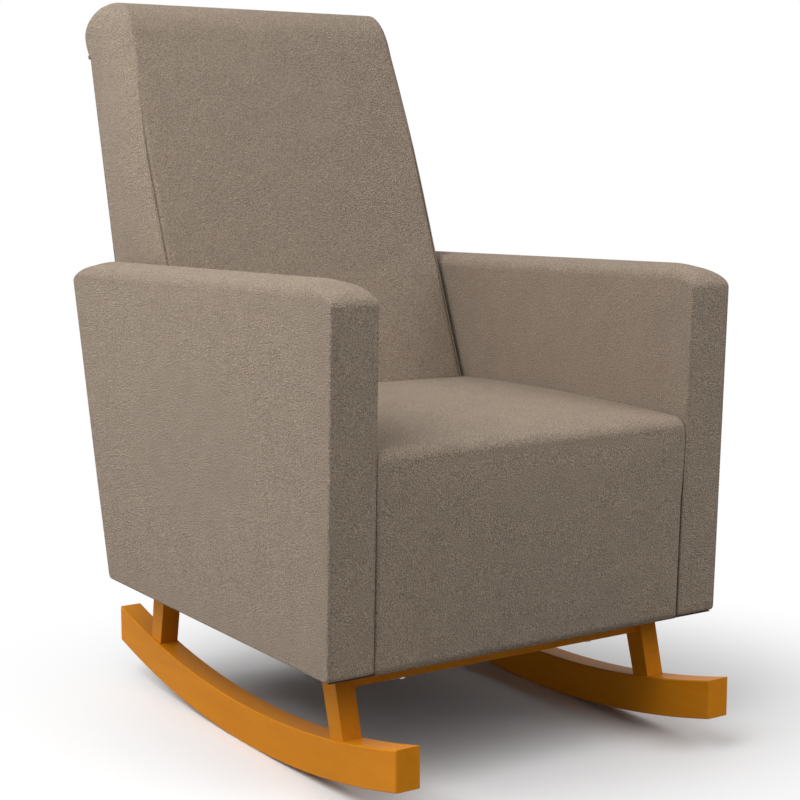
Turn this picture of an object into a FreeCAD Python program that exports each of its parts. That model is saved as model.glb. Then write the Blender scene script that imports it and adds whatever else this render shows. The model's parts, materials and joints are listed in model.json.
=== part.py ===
import FreeCAD, Part
import math
import operator
import os

import Sketcher

# A fully upholstered rocking chair with box arms, a tight seat and a raked back
# that rolls over at the top. It stands on two curved wooden rockers.
# X runs across the chair, the front faces -Y and +Z is up. The origin lies on the
# floor in the middle of the chair's outer box. Every size is in millimetres.

os.makedirs("parts", exist_ok=True)
doc = FreeCAD.newDocument("RockingChair")

SIZES = {
    # the upholstered body, seen from outside
    "arm_span": 608,
    "arm_thickness": 64,
    "underside": 164,
    "arm_height_front": 634,
    "arm_height_rear": 620,
    "front_foot": 375,
    "front_lean_share": 0.032,
    "arm_rear_foot": 247,
    "arm_rear_lean_share": 0.247,
    "arm_front_corner": 50,
    "arm_rear_corner": 38,
    "arm_edge": 18,
    # the seat cushion
    "seat_swell": 7,
    "seat_crown": 10,
    "seat_rim_height": 440,
    "seat_front_corner": 30,
    "seat_rear_corner": 12,
    "seat_edge": 14,
    "seat_pad_top": 7,
    # the back
    "overall_height": 1000,
    "back_side_gap": 9,
    "back_seat_reach": 114,
    "back_front_lean_share": 0.38,
    "back_rear_foot": 256,
    "back_rear_lean_share": 0.24,
    "back_bow": 6,
    "back_front_corner": 38,
    "back_edge": 30,
    "roll_height": 73,
    "roll_overhang": 13,
    "roll_corner": 46,
    "roll_lip_corner": 14,
    "roll_pad": 15,
    "back_pad_front": 20,
    # covers, padding and boards
    "cover_thickness": 3,
    "fit_gap": 0.3,
    "board_thickness": 3,
    "cut_overrun": 20,
    "arm_pad_front": 9,
    "arm_pad_rear": 6,
    "arm_pad_top": 20,
    "arm_pad_inside": 12,
    "arm_pad_outside": 6,
    "seat_pad_front": 8,
    "back_foam_depth": 14,
    "dust_cloth": 0.6,
    # the arm frames
    "arm_post_front_depth": 96,
    "arm_post_rear_depth": 32,
    "arm_top_rail_depth": 36,
    "arm_bottom_rail_depth": 60,
    # the seat frame
    "seat_rail_thickness": 25,
    "seat_front_rail_thickness": 42,
    "seat_rear_rail_thickness": 20,
    "seat_rail_height": 146,
    "seat_rail_rear_end": 235,
    "seat_rear_rail_front": 165,
    "bearer_depth": 44,
    "bearer_height": 26,
    "corner_block_leg": 56,
    "corner_block_height": 70,
    "corner_block_lift": 40,
    # the webbing and the cloth under the seat foam
    "webbing_thickness": 2,
    "webbing_width": 50,
    "seat_cloth_thickness": 0.8,
    # the back frame
    "back_panel_thickness": 9,
    "back_post_thickness": 22,
    "back_post_depth": 38,
    "back_post_share": 0.62,
    "back_rail_depth": 22,
    "back_rail_height": 56,
    # the rockers, the legs and the base rails
    "rocker_bend": 1525,
    "rocker_low": -76,
    "rocker_front": -452,
    "rocker_rear": 309,
    "rocker_depth": 52,
    "rocker_width": 34,
    "rocker_ease": 1.5,
    "leg_row_inset": 61,
    "leg_width": 27,
    "leg_depth_top": 34,
    "leg_depth_foot": 29,
    "front_leg_top": -306,
    "front_leg_foot": -329,
    "rear_leg_top": 160,
    "rear_leg_foot": 178,
    "base_rail_thickness": 22,
    "base_rail_height": 33,
    "side_rail_height": 25,
    # tenons and bolts
    "tenon_thickness": 10,
    "tenon_width": 16,
    "tenon_length": 46,
    "hole_play": 0.15,
    "base_bolt_width": 6,
    "base_bolt_reach": 20,
    "base_bolt_row_share": 0.62,
    "arm_bolt_width": 8,
    "arm_bolt_grip": 24,
    "arm_bolt_height": 194,
    "arm_bolt_front": -230,
    "arm_bolt_rear": 90,
    "back_bolt_low": 200,
    "back_bolt_high": 262,
    "bolt_head_share": 1.9,
    "bolt_head_depth_share": 0.6,
}
BACK_STRIPS = 6
SEAT_STRIPS_LONG = 4
SEAT_STRIPS_ACROSS = 5
SIDES = {"left": -1, "right": 1}

OPERATORS = {"+": operator.add, "-": operator.sub, "*": operator.mul, "/": operator.truediv}


class Size:
    """A number together with the expression that gives it.

    Sums and products of sizes carry both, so a sketch starts at the right shape
    and stays bound to the cells of the sheet.
    """

    def __init__(self, value, text):
        self.value = value
        self.text = text

    def join(self, sign, other, swapped=False):
        other = other if isinstance(other, Size) else Size(other, str(other))
        first, last = (other, self) if swapped else (self, other)
        value = OPERATORS[sign](first.value, last.value)
        return Size(value, f"({first.text} {sign} {last.text})")

    def __add__(self, other):
        return self.join("+", other)

    def __radd__(self, other):
        return self.join("+", other, True)

    def __sub__(self, other):
        return self.join("-", other)

    def __rsub__(self, other):
        return self.join("-", other, True)

    def __mul__(self, other):
        return self.join("*", other)

    def __rmul__(self, other):
        return self.join("*", other, True)

    def __truediv__(self, other):
        return self.join("/", other)

    def __neg__(self):
        return self.join("-", 0, True)

    def root(self):
        return Size(math.sqrt(self.value), f"sqrt({self.text})")


class Named:
    """The sizes of the sheet as attributes, such as size.arm_span."""


def fill_sheet():
    """Writes every driving size into the sheet and returns them by name."""
    sheet = doc.addObject("Spreadsheet::Sheet", "Sizes")
    named = Named()
    for row, (name, number) in enumerate(SIZES.items(), 1):
        sheet.set(f"A{row}", name)
        sheet.set(f"B{row}", str(number))
        sheet.setAlias(f"B{row}", name)
        setattr(named, name, Size(number, f"Sizes.{name}"))
    doc.recompute()
    return named


size = fill_sheet()
nodes = {}

# Outlines
# An outline is a list of corners (y, z, rounding, bend), walked up the front, along
# the top, down the rear and back along the bottom. rounding is the corner's radius.
# bend is the radius of the arc that leads to the next corner, positive where it
# swells outwards.


def corner(y, z, rounding=None, bend=None):
    return y, z, rounding, bend


def point(pair):
    return FreeCAD.Vector(pair[0], pair[1], 0)


def toward(start, end, distance):
    """The point that lies distance from start on the way to end."""
    reach = math.hypot(end[0] - start[0], end[1] - start[1])
    share = distance / reach
    return start[0] + (end[0] - start[0]) * share, start[1] + (end[1] - start[1]) * share


def rounded(before, here, after, radius):
    """Where a corner's arc starts, has its middle and ends."""
    one = math.atan2(before[1] - here[1], before[0] - here[0])
    two = math.atan2(after[1] - here[1], after[0] - here[0])
    half = abs(math.remainder(two - one, 2 * math.pi)) / 2
    start = toward(here, before, radius / math.tan(half))
    end = toward(here, after, radius / math.tan(half))
    chord_middle = (start[0] + end[0]) / 2, (start[1] + end[1]) / 2
    middle = toward(here, chord_middle, radius / math.sin(half) - radius)
    return start, middle, end


def bent(start, end, radius):
    """The middle of an arc from start to end that swells to the left by a positive radius."""
    half = math.hypot(end[0] - start[0], end[1] - start[1]) / 2
    rise = abs(radius) - math.sqrt(radius * radius - half * half)
    across = (start[1] - end[1]) / (2 * half), (end[0] - start[0]) / (2 * half)
    sign = math.copysign(rise, radius)
    return (start[0] + end[0]) / 2 + across[0] * sign, (start[1] + end[1]) / 2 + across[1] * sign


def draw(sketch, outline):
    """Draws an outline whose corners, roundings and bends are bound to the sheet."""
    flat = [(float(value(c[0])), float(value(c[1]))) for c in outline]
    count = len(outline)
    arcs = {}
    for i, (_, _, rounding, _) in enumerate(outline):
        if rounding is not None:
            arcs[i] = rounded(flat[i - 1], flat[i], flat[(i + 1) % count], value(rounding))
    joints = []
    rules = []
    for i, (y, z, rounding, bend) in enumerate(outline):
        after = (i + 1) % count
        if rounding is None:
            corner_at = None
        else:
            start, middle, end = arcs[i]
            arc = sketch.addGeometry(Part.Arc(point(start), point(middle), point(end)), False)
            corner_at = sketch.addGeometry(Part.Point(point(flat[i])), True)
            joints.append((arc, 2, 1, corner_at))
            rules.append((Sketcher.Constraint("Radius", arc, value(rounding)), rounding))
        begin = arcs[i][2] if i in arcs else flat[i]
        finish = arcs[after][0] if after in arcs else flat[after]
        if bend is None:
            edge = sketch.addGeometry(Part.LineSegment(point(begin), point(finish)), False)
            joints.append((edge, 1, 2, None))
        else:
            middle = bent(begin, finish, value(bend))
            edge = sketch.addGeometry(Part.Arc(point(begin), point(middle), point(finish)), False)
            swells_out = value(bend) > 0
            joints.append((edge, 2, 1, None) if swells_out else (edge, 1, 2, None))
            rules.append((Sketcher.Constraint("Radius", edge, abs(value(bend))), magnitude(bend)))
    for k, (edge, first, last, corner_at) in enumerate(joints):
        following, next_first, _, next_corner = joints[(k + 1) % len(joints)]
        smooth = corner_at is not None or next_corner is not None
        kind = "Tangent" if smooth else "Coincident"
        rules.append((Sketcher.Constraint(kind, edge, last, following, next_first), None))
        if corner_at is not None:
            previous = joints[k - 1][0]
            rules.append((Sketcher.Constraint("PointOnObject", corner_at, 1, previous), None))
            rules.append((Sketcher.Constraint("PointOnObject", corner_at, 1, following), None))
    k = 0
    for y, z, rounding, _ in outline:
        held, pos = (joints[k][3], 1) if rounding is not None else (joints[k][0], joints[k][1])
        k += 2 if rounding is not None else 1
        rules.append((Sketcher.Constraint("DistanceX", -1, 1, held, pos, value(y)), y))
        rules.append((Sketcher.Constraint("DistanceY", -1, 1, held, pos, value(z)), z))
    for rule, bound in rules:
        index = sketch.addConstraint(rule)
        if isinstance(bound, Size):
            sketch.setExpression(f"Constraints[{index}]", bound.text)


def value(number):
    return number.value if isinstance(number, Size) else number


def magnitude(bend):
    return bend if value(bend) > 0 else -bend


def sketch_at(body, name, plane, offset, outline):
    """A sketch on one of the body's own planes, moved along its normal by offset."""
    sketch = body.newObject("Sketcher::SketchObject", name)
    role = f"{plane}_Plane"
    origin_plane = next(f for f in body.Origin.OriginFeatures if f.Role == role)
    sketch.AttachmentSupport = (origin_plane, [""])
    sketch.MapMode = "FlatFace"
    sketch.AttachmentOffset = FreeCAD.Placement(
        FreeCAD.Vector(0, 0, value(offset)), FreeCAD.Rotation()
    )
    if isinstance(offset, Size):
        sketch.setExpression("AttachmentOffset.Base.z", offset.text)
    draw(sketch, outline)
    return sketch


def new_body(name):
    body = doc.addObject("PartDesign::Body", name)
    body.Label = name
    return body


def register(name, thing):
    thing.Label = name
    nodes[name] = thing
    return thing


def feature(body, kind, name, length, sketch):
    """A Pad or a Pocket whose length is bound to the sheet."""
    made = body.newObject(f"PartDesign::{kind}", name)
    made.Profile = sketch
    made.Length = value(length)
    made.setExpression("Length", length.text)
    return made


def finish(body, kind, name, setting, edges, amount):
    """Rounds or bevels some edges of the body's latest shape."""
    latest = body.Tip
    made = body.newObject(f"PartDesign::{kind}", name)
    made.Base = (latest, edges)
    made.setExpression(setting, amount.text)


def prism_body(name, outline, low, high, plane="YZ"):
    """A body whose outline is carried along the plane's normal from low to high."""
    body = new_body(name)
    sketch = sketch_at(body, f"{name}_outline", plane, low, outline)
    feature(body, "Pad", f"{name}_pad", high - low, sketch)
    return body


def prism(name, outline, low, high, plane="YZ"):
    return register(name, prism_body(name, outline, low, high, plane))


def sided(side, inner, outer):
    """The low and high X of a piece that lies between two distances from the middle."""
    return (inner, outer) if side > 0 else (-outer, -inner)


def hollow(body, name, outline, low, high):
    """Takes the outline's prism out of the body, and checks that something went."""
    doc.recompute()
    before = body.Shape.Volume
    sketch = sketch_at(body, f"{name}_hollow_outline", "YZ", high, outline)
    feature(body, "Pocket", f"{name}_hollow", high - low, sketch)
    doc.recompute()
    if body.Shape.Volume >= before:
        raise RuntimeError(f"{name}: the hollow took nothing away")


def group(name, members):
    """Separate solids that share one node."""
    compound = doc.addObject("Part::Compound", name)
    compound.Links = members
    return register(name, compound)


def placed(kind, name, length, start, direction):
    """A straight solid with its length, the place where it starts and where it points."""
    made = doc.addObject(kind, name)
    made.setExpression("Height", length.text)
    made.Placement = FreeCAD.Placement(
        FreeCAD.Vector(*[value(x) for x in start]),
        FreeCAD.Rotation(FreeCAD.Vector(0, 0, 1), FreeCAD.Vector(*direction)),
    )
    for axis, place in zip("xyz", start):
        if isinstance(place, Size):
            made.setExpression(f"Placement.Base.{axis}", place.text)
    return made


def rod(name, width, length, start, direction):
    made = placed("Part::Cylinder", name, length, start, direction)
    made.setExpression("Radius", (width / 2).text)
    return made


def drill(name, tools):
    """Cuts holes for rods through a node."""
    doc.recompute()
    tool = doc.addObject("Part::Compound", f"{name}_drills")
    tool.Links = tools
    cut = doc.addObject("Part::Cut", f"{name}_drilled")
    cut.Base = nodes[name]
    cut.Tool = tool
    doc.recompute()
    if cut.Shape.Volume >= nodes[name].Shape.Volume:
        raise RuntimeError(f"{name}: the holes took nothing away")
    nodes[name].Label = f"{name}_blank"
    register(name, cut)


# Planes of the body, as places in Y at a height
half_span = size.arm_span / 2
arm_inner = half_span - size.arm_thickness
leg_row = half_span - size.leg_row_inset
gap = size.fit_gap
skin = size.cover_thickness


def front_at(z):
    """The front of the arms and of the seat, which leans forward as it rises."""
    return (size.underside - z) * size.front_lean_share - size.front_foot


def arm_rear_at(z):
    return size.arm_rear_foot + (z - size.underside) * size.arm_rear_lean_share


def back_front_at(z):
    return size.back_seat_reach + (z - size.seat_rim_height) * size.back_front_lean_share


def back_rear_at(z):
    return size.back_rear_foot + (z - size.underside) * size.back_rear_lean_share


# Rockers


def rocker_bottom(y):
    """Height of the rocker's running edge, an arc that touches the floor at its low point."""
    off = y - size.rocker_low
    return size.rocker_bend - (size.rocker_bend * size.rocker_bend - off * off).root()


def rocker_top(y):
    return rocker_bottom(y) + size.rocker_depth


def make_rocker(name, side):
    front, rear = size.rocker_front, size.rocker_rear
    outline = [
        corner(front, rocker_bottom(front)),
        corner(front, rocker_top(front), bend=-size.rocker_bend),
        corner(rear, rocker_top(rear)),
        corner(rear, rocker_bottom(rear), bend=size.rocker_bend),
    ]
    half = size.rocker_width / 2
    low, high = sided(side, leg_row - half, leg_row + half)
    body = prism_body(name, outline, low, high)
    doc.recompute()
    faces = (value(low), value(high))
    long_edges = [
        f"Edge{i}"
        for i, edge in enumerate(body.Shape.Edges, 1)
        if any(all(abs(v.X - x) < 1e-6 for v in edge.Vertexes) for x in faces)
    ]
    finish(body, "Chamfer", f"{name}_ease", "Size", long_edges, size.rocker_ease)
    register(name, body)


# Legs and base rails

base_top = size.underside - size.dust_cloth
leg_inner = leg_row - size.leg_width / 2
leg_outer = leg_row + size.leg_width / 2


def leg_outline(top, foot):
    """A leg that leans and tapers from the base rails down onto its rocker."""
    foot_rear = foot + size.leg_depth_foot
    return [
        corner(foot, rocker_top(foot)),
        corner(top, base_top),
        corner(top + size.leg_depth_top, base_top),
        corner(foot_rear, rocker_top(foot_rear)),
    ]


def leg_line(top, foot, z):
    """Y of a leg's edge at a height, between its top and its foot."""
    drop = base_top - rocker_top(foot)
    return top + (foot - top) * (base_top - z) / drop


def rectangle(front, rear, low, high):
    return [corner(front, low), corner(front, high), corner(rear, high), corner(rear, low)]


def make_base():
    for word, side in SIDES.items():
        make_rocker(f"rocker_{word}", side)
        low, high = sided(side, leg_inner, leg_outer)
        prism(f"leg_front_{word}", leg_outline(size.front_leg_top, size.front_leg_foot), low, high)
        prism(f"leg_rear_{word}", leg_outline(size.rear_leg_top, size.rear_leg_foot), low, high)
        z_low = base_top - size.side_rail_height
        front_top = size.front_leg_top + size.leg_depth_top
        front_foot = size.front_leg_foot + size.leg_depth_foot
        outline = [
            corner(leg_line(front_top, front_foot, z_low), z_low),
            corner(front_top, base_top),
            corner(size.rear_leg_top, base_top),
            corner(leg_line(size.rear_leg_top, size.rear_leg_foot, z_low), z_low),
        ]
        half = size.base_rail_thickness / 2
        low, high = sided(side, leg_row - half, leg_row + half)
        prism(f"base_rail_{word}", outline, low, high)
    z_low = base_top - size.base_rail_height
    front = size.front_leg_top
    rear = size.rear_leg_top + size.leg_depth_top
    thick = size.base_rail_thickness
    prism("base_rail_front", rectangle(front, front + thick, z_low, base_top), -leg_inner, leg_inner)
    prism("base_rail_rear", rectangle(rear - thick, rear, z_low, base_top), -leg_inner, leg_inner)


# Seat frame, springs and seat

rail_top = size.underside + size.seat_rail_height
seat_half = arm_inner - gap
rail_outer = seat_half - gap
rail_inner = rail_outer - size.seat_rail_thickness
front_rail_inset = skin + size.seat_pad_front + gap * 2
rear_rail_front = size.seat_rear_rail_front
seat_frame_rear = rear_rail_front + size.seat_rear_rail_thickness


def upright(inset, depth, low, high):
    """A board that follows the chair's front, inset from it and depth thick."""
    return [
        corner(front_at(low) + inset, low),
        corner(front_at(high) + inset, high),
        corner(front_at(high) + inset + depth, high),
        corner(front_at(low) + inset + depth, low),
    ]


def make_seat_frame():
    """The rails that carry the seat, the bearer over the front base rail and the corner blocks."""
    floor = size.underside
    thick = size.seat_front_rail_thickness
    behind_front = front_at(floor) + front_rail_inset + thick + gap
    prism("seat_rail_front", upright(front_rail_inset, thick, floor, rail_top), -rail_outer, rail_outer)
    for word, side in SIDES.items():
        low, high = sided(side, rail_inner, rail_outer)
        outline = rectangle(behind_front, size.seat_rail_rear_end, floor, rail_top)
        prism(f"seat_rail_{word}", outline, low, high)
    within = rail_inner - gap
    prism("seat_rail_rear", rectangle(rear_rail_front, seat_frame_rear, floor, rail_top), -within, within)
    middle = size.front_leg_top + size.base_rail_thickness / 2
    half = size.bearer_depth / 2
    outline = rectangle(behind_front, middle + half, floor, floor + size.bearer_height)
    prism("seat_bearer", outline, -within, within)
    blocks = []
    leg = size.corner_block_leg
    low = floor + size.corner_block_lift
    for word, side in SIDES.items():
        for place, y, way in (("front", behind_front, 1), ("rear", rear_rail_front - gap, -1)):
            x = side * within
            tips = [corner(x, y), corner(x, y + leg * way), corner(x - leg * side, y)]
            # an outline is walked clockwise
            tips = tips if side * way < 0 else tips[::-1]
            name = f"corner_block_{place}_{word}"
            blocks.append(prism_body(name, tips, low, low + size.corner_block_height, "XY"))
    group("corner_blocks", blocks)


def make_seat_webbing():
    """Stretched straps that cross over the seat frame and carry the foam."""
    low, thick, wide = rail_top, size.webbing_thickness, size.webbing_width
    within = seat_half - skin - gap
    front = front_at(rail_top) + front_rail_inset
    strips = []
    pitch = within * 2 / SEAT_STRIPS_LONG
    for i in range(SEAT_STRIPS_LONG):
        off = pitch * (i - (SEAT_STRIPS_LONG - 1) / 2)
        outline = rectangle(front, seat_frame_rear, low, low + thick)
        strips.append(prism_body(f"seat_strap_{i}", outline, off - wide / 2, off + wide / 2))
    low = rail_top + thick
    pitch = (seat_frame_rear - front) / SEAT_STRIPS_ACROSS
    for i in range(SEAT_STRIPS_ACROSS):
        y = front + (pitch - wide) / 2 + pitch * i
        outline = rectangle(y, y + wide, low, low + thick)
        strips.append(prism_body(f"seat_cross_strap_{i}", outline, -within, within))
    group("seat_webbing", strips)


cloth_low = rail_top + size.webbing_thickness * 2 + gap
foam_low = cloth_low + size.seat_cloth_thickness + gap


def seat_outline(inset, lack):
    """The seat cushion from the side, with an apron that hangs down its front.

    inset draws the outline in at the soft edges. lack is the share of the crown
    that is missing there.
    """
    rim = size.seat_rim_height - inset * 0.3
    front = front_at(rim) + inset / 2
    rear = back_front_at(rim) - gap - inset / 2
    half = (rear - front) / 2
    rise = size.seat_swell + size.seat_crown * (1 - lack)
    swell = (half * half + rise * rise) / (rise * 2)
    apron = size.underside
    return [
        corner(front_at(apron), apron),
        corner(front, rim, size.seat_front_corner - inset / 2, swell),
        corner(rear, rim, size.seat_rear_corner),
        corner(back_front_at(foam_low) - gap, foam_low),
        corner(front_at(foam_low) + skin, foam_low),
        corner(front_at(apron) + skin, apron),
    ]


# How a soft edge turns over, as shares of the edge's radius: how far in from the
# face each section stands, and how far its outline is drawn in there.
EDGE_SHARES = ((0.0, 0.72), (0.25, 0.26), (1.0, 0.0))
# Where further sections stand between the edge and the middle, as shares of the half
# width, and how much of the crown they lack.
CROWN_SHARES = ((0.42, 0.34), (1.0, 0.0))


def section_places(half, edge):
    """(X, drawn in, lacking crown) of every section, from one face to the other."""
    near = []
    for off_share, inset_share in EDGE_SHARES:
        near.append((half - edge * off_share, edge * inset_share, 1.0))
    for off_share, crown_share in CROWN_SHARES:
        near.append(((half - edge) * (1 - off_share), edge * 0.0, crown_share))
    far = [(-x, inset, lack) for x, inset, lack in reversed(near[:-1])]
    return near + far


def loft(body, name, places, outline_of):
    sections = []
    for i, (x, inset, lack) in enumerate(places):
        sections.append(sketch_at(body, f"{name}_section_{i}", "YZ", x, outline_of(inset, lack)))
    made = body.newObject("PartDesign::AdditiveLoft", f"{name}_loft")
    made.Profile = sections[0]
    made.Sections = sections[1:]
    made.Ruled = True
    return made


def make_seat():
    """The foam block on its webbing, and the crowned cover that wraps it."""
    half = seat_half - skin - gap
    thick = size.seat_cloth_thickness
    front = front_at(rail_top) + front_rail_inset
    outline = rectangle(front, seat_frame_rear, cloth_low, cloth_low + thick)
    prism("seat_cloth", outline, -half, half)
    top = size.seat_rim_height - size.seat_pad_top
    inset = skin * 2
    foam = [
        corner(front_at(foam_low) + inset + gap, foam_low),
        corner(front_at(top) + inset + gap, top, size.seat_front_corner),
        corner(back_front_at(top) - inset - gap, top),
        corner(back_front_at(foam_low) - inset - gap, foam_low),
    ]
    prism("seat_foam", foam, -half, half)
    body = new_body("seat_cover")
    loft(body, "seat_cover", section_places(seat_half, size.seat_edge), seat_outline)
    low = foam_low - size.cut_overrun
    cavity = [
        corner(front_at(low) + inset, low),
        corner(front_at(top) + inset, top + gap, size.seat_front_corner),
        corner(back_front_at(top) - inset, top + gap),
        corner(back_front_at(low) - inset, low),
    ]
    hollow(body, "seat_cover", cavity, -half - gap, half + gap)
    register("seat_cover", body)
    outline = upright(skin + gap, size.seat_pad_front, size.underside + gap, rail_top - gap)
    prism("seat_front_padding", outline, -half, half)


# Arms


def arm_outline(front, rear, top, bottom, front_round, rear_round):
    """An arm from the side, drawn in from its outside by four insets."""
    low = size.underside + bottom
    high_front = size.arm_height_front - top
    high_rear = size.arm_height_rear - top
    return [
        corner(front_at(low) + front, low),
        corner(front_at(high_front) + front, high_front, front_round),
        corner(arm_rear_at(high_rear) - rear, high_rear, rear_round),
        corner(arm_rear_at(low) - rear, low),
    ]


def arm_form(name, side, inset, bottom):
    """A prism of the arm's outline, drawn in by inset, and the names of its long edges."""
    rounds = size.arm_front_corner - inset, size.arm_rear_corner - inset
    low, high = sided(side, arm_inner + inset, half_span - inset)
    outline = arm_outline(inset, inset, inset, bottom, *rounds)
    body = prism_body(name, outline, low, high)
    doc.recompute()
    floor = value(size.underside + bottom)
    faces = (value(low), value(high))
    rims = []
    for i, edge in enumerate(body.Shape.Edges, 1):
        on_face = any(all(abs(v.X - x) < 1e-6 for v in edge.Vertexes) for x in faces)
        at_floor = all(abs(v.Z - floor) < 1e-6 for v in edge.Vertexes)
        if on_face and not at_floor:
            rims.append(f"Edge{i}")
    return body, rims


def make_arm(word, side):
    """One box arm: cover, padding, two boards and the wooden frame between them."""
    none = gap * 0
    form, rims = arm_form(f"arm_form_{word}", side, none, none)
    finish(form, "Fillet", f"arm_form_edges_{word}", "Radius", rims, size.arm_edge)
    room, rims = arm_form(f"arm_room_{word}", side, skin, -size.cut_overrun)
    finish(room, "Chamfer", f"arm_room_edges_{word}", "Size", rims, size.arm_edge / 2)
    cover = doc.addObject("Part::Cut", f"arm_cover_{word}")
    cover.Base = form
    cover.Tool = room
    register(f"arm_cover_{word}", cover)
    pad = skin + gap
    name = f"arm_padding_{word}"
    body, rims = arm_form(name, side, pad, gap)
    finish(body, "Chamfer", f"{name}_edges", "Size", rims, size.arm_edge / 2)
    rounds = size.arm_front_corner * 0.5, size.arm_rear_corner * 0.5
    front, rear = pad + size.arm_pad_front, pad + size.arm_pad_rear
    top = pad + size.arm_pad_top
    inner = arm_inner + pad + size.arm_pad_inside
    outer = half_span - pad - size.arm_pad_outside
    low, high = sided(side, inner, outer)
    hollow(body, name, arm_outline(front, rear, top, -size.cut_overrun, *rounds), low, high)
    register(name, body)
    front, rear, top = front + gap, rear + gap, top + gap
    inner, outer = inner + gap, outer - gap
    board = arm_outline(front, rear, top, gap, *rounds)
    low, high = sided(side, inner, inner + size.board_thickness)
    prism(f"arm_inner_board_{word}", board, low, high)
    low, high = sided(side, outer - size.board_thickness, outer)
    prism(f"arm_outer_board_{word}", board, low, high)
    inner = inner + size.board_thickness + gap
    outer = outer - size.board_thickness - gap
    low, high = sided(side, inner, outer)
    z_low = size.underside + gap
    high_front = size.arm_height_front - top
    high_rear = size.arm_height_rear - top
    rail_front = high_front - size.arm_top_rail_depth
    rail_rear = high_rear - size.arm_top_rail_depth
    y_front = front_at(high_front) + front
    y_rear = arm_rear_at(high_rear) - rear
    slope = (rail_rear - rail_front) / (y_rear - y_front)

    def under_rail(y):
        """Height of the top rail's underside, which falls towards the rear."""
        return rail_front + (y - y_front) * slope

    top_rail = [
        corner(front_at(rail_front) + front, rail_front),
        corner(y_front, high_front, rounds[0]),
        corner(y_rear, high_rear, rounds[1]),
        corner(arm_rear_at(rail_rear) - rear, rail_rear),
    ]
    prism(f"arm_top_rail_{word}", top_rail, low, high)
    post = size.arm_post_front_depth
    z_one = under_rail(front_at(rail_front) + front) - gap
    z_two = under_rail(front_at(rail_front) + front + post) - gap
    front_post = [
        corner(front_at(z_low) + front, z_low),
        corner(front_at(rail_front) + front, z_one),
        corner(front_at(rail_front) + front + post, z_two),
        corner(front_at(z_low) + front + post, z_low),
    ]
    prism(f"arm_post_front_{word}", front_post, low, high)
    post = size.arm_post_rear_depth
    y_top = arm_rear_at(rail_rear) - rear
    rear_post = [
        corner(arm_rear_at(z_low) - rear - post, z_low),
        corner(y_top - post, under_rail(y_top - post) - gap),
        corner(y_top, under_rail(y_top) - gap),
        corner(arm_rear_at(z_low) - rear, z_low),
    ]
    prism(f"arm_post_rear_{word}", rear_post, low, high)
    z_high = z_low + size.arm_bottom_rail_depth
    behind = front + size.arm_post_front_depth + gap
    ahead = rear + size.arm_post_rear_depth + gap
    bottom_rail = [
        corner(front_at(z_low) + behind, z_low),
        corner(front_at(z_high) + behind, z_high),
        corner(arm_rear_at(z_high) - ahead, z_high),
        corner(arm_rear_at(z_low) - ahead, z_low),
    ]
    prism(f"arm_bottom_rail_{word}", bottom_rail, low, high)


# Back

back_half = arm_inner - size.back_side_gap
back_base = foam_low
rear_lap = skin + gap
frame_rear = rear_lap + size.board_thickness + gap
foam_front = size.back_pad_front + gap
strap_front = foam_front + size.back_foam_depth + gap
frame_front = strap_front + size.webbing_thickness + gap
frame_half = back_half - skin - gap
lip = size.overall_height - size.roll_height
roll_reach = back_rear_at(lip) + size.roll_overhang
frame_top = lip + skin - gap


def slab(front, rear, low, high):
    """A slab of the back between insets from its front plane and from its rear plane."""
    return [
        corner(back_front_at(low) + front, low),
        corner(back_front_at(high) + front, high),
        corner(back_rear_at(high) - rear, high),
        corner(back_rear_at(low) - rear, low),
    ]


def front_slab(front, depth, low, high):
    """A slab that follows the back's front plane."""
    return [
        corner(back_front_at(low) + front, low),
        corner(back_front_at(high) + front, high),
        corner(back_front_at(high) + front + depth, high),
        corner(back_front_at(low) + front + depth, low),
    ]


def rear_slab(rear, depth, low, high):
    """A slab that follows the back's rear plane."""
    return [
        corner(back_rear_at(low) - rear - depth, low),
        corner(back_rear_at(high) - rear - depth, high),
        corner(back_rear_at(high) - rear, high),
        corner(back_rear_at(low) - rear, low),
    ]


def back_outline(inset, lack):
    """The back from the side: the raked front, the roll and the lip behind it."""
    top = size.overall_height - inset
    reach = roll_reach - inset / 4
    front = inset / 2 + size.back_bow * lack
    return [
        corner(back_front_at(back_base) + front, back_base),
        corner(back_front_at(top) + front, top, size.back_front_corner),
        corner(reach, top, size.roll_corner - inset * 0.6),
        corner(reach, lip, size.roll_lip_corner),
        corner(back_rear_at(lip) - rear_lap, lip),
        corner(back_rear_at(back_base) - rear_lap, back_base),
    ]


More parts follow.
